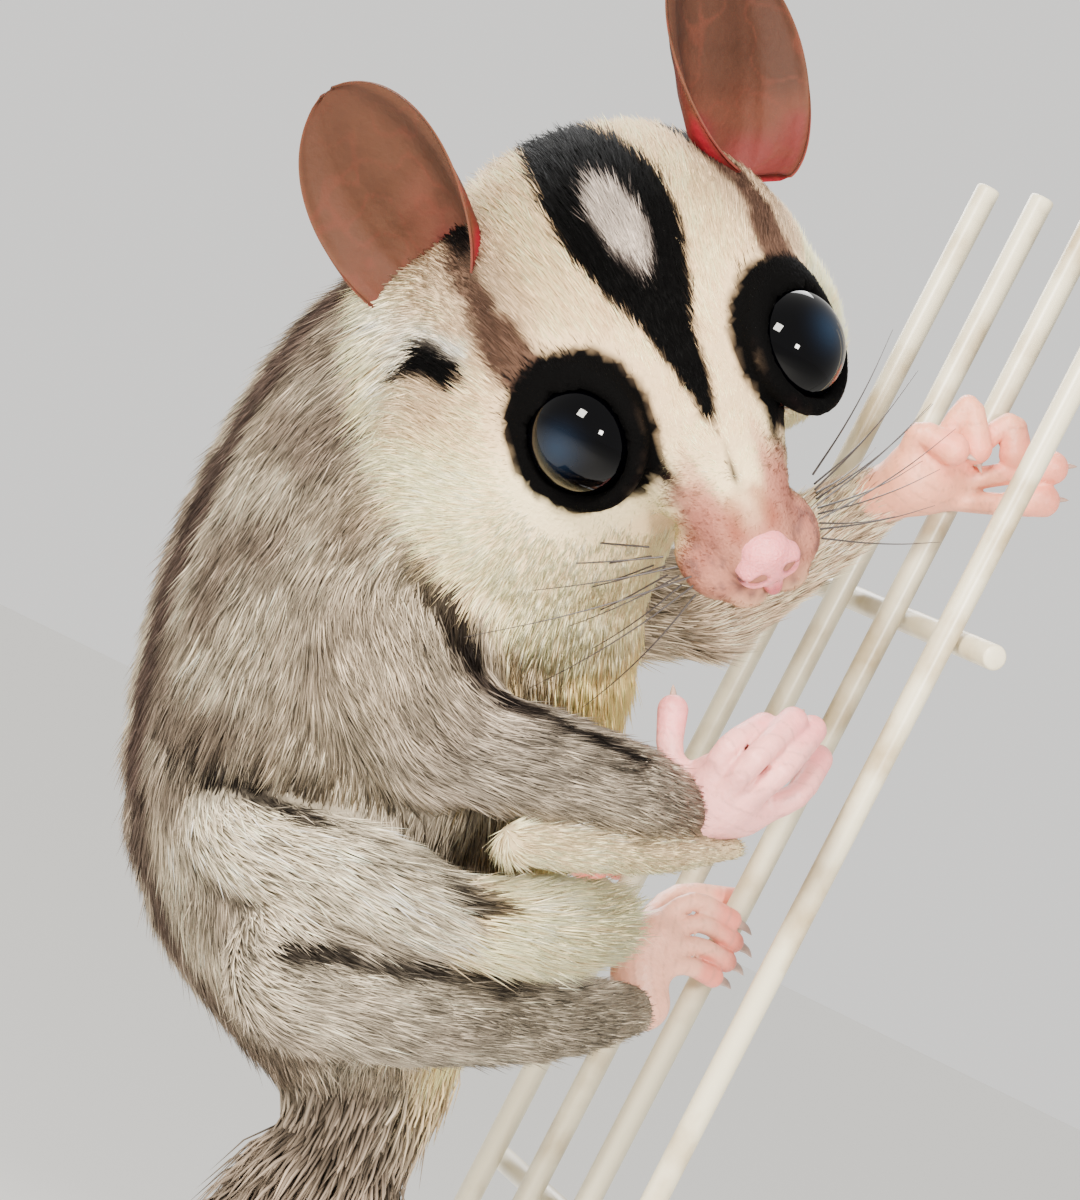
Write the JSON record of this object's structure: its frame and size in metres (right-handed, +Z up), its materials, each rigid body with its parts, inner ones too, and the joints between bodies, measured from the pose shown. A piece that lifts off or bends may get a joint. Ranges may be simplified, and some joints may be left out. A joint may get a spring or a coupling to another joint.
{
  "type": "sugar glider model",
  "caption": "Life-size sugar glider clinging to an upright wire perch, one hand cupped at its mouth and its tail hanging, on a plate and rod display stand.",
  "frame": {"origin": "centre of the flat underside of the stand's base plate", "axes": "+Z up, +X from the animal's back toward the perch it clings to, +Y to the animal's left"},
  "size_m": [0.13, 0.11, 0.2606],
  "materials": {
    "fur_grey": "short mottled grey-brown fur",
    "fur_cream": "short cream fur",
    "ear_skin": "thin bare skin, satin",
    "paw_skin": "bare pink skin, satin",
    "eye_gloss": "wet gloss",
    "wire_coating": "smooth cream coating",
    "stand_paint": "satin"
  },
  "bodies": {
    "root": {"stand_base": "stand_paint", "stand_rod_1": "stand_paint", "stand_rod_2": "stand_paint", "perch_wire_1": "wire_coating", "perch_wire_2": "wire_coating", "perch_wire_3": "wire_coating", "perch_wire_4": "wire_coating", "perch_bar_1": "wire_coating", "perch_bar_2": "wire_coating", "eye_left": "eye_gloss", "ear_left": "ear_skin", "hand_left": "paw_skin", "foot_left": "paw_skin", "forearm_left": "fur_grey", "shank_left": "fur_grey", "upper_arm_left": "fur_grey", "thigh_left": "fur_grey", "flank_left": "fur_cream", "eye_right": "eye_gloss", "ear_right": "ear_skin", "hand_right": "paw_skin", "foot_right": "paw_skin", "forearm_right": "fur_grey", "shank_right": "fur_grey", "upper_arm_right": "fur_grey", "thigh_right": "fur_grey", "flank_right": "fur_cream", "head": "fur_grey", "web_right": "fur_cream", "tail_1": "fur_grey", "tail_2": "fur_grey", "tail_3": "fur_grey", "tail_4": "fur_grey", "torso": "fur_grey", "neck": "fur_cream"}
  },
  "joints": []
}
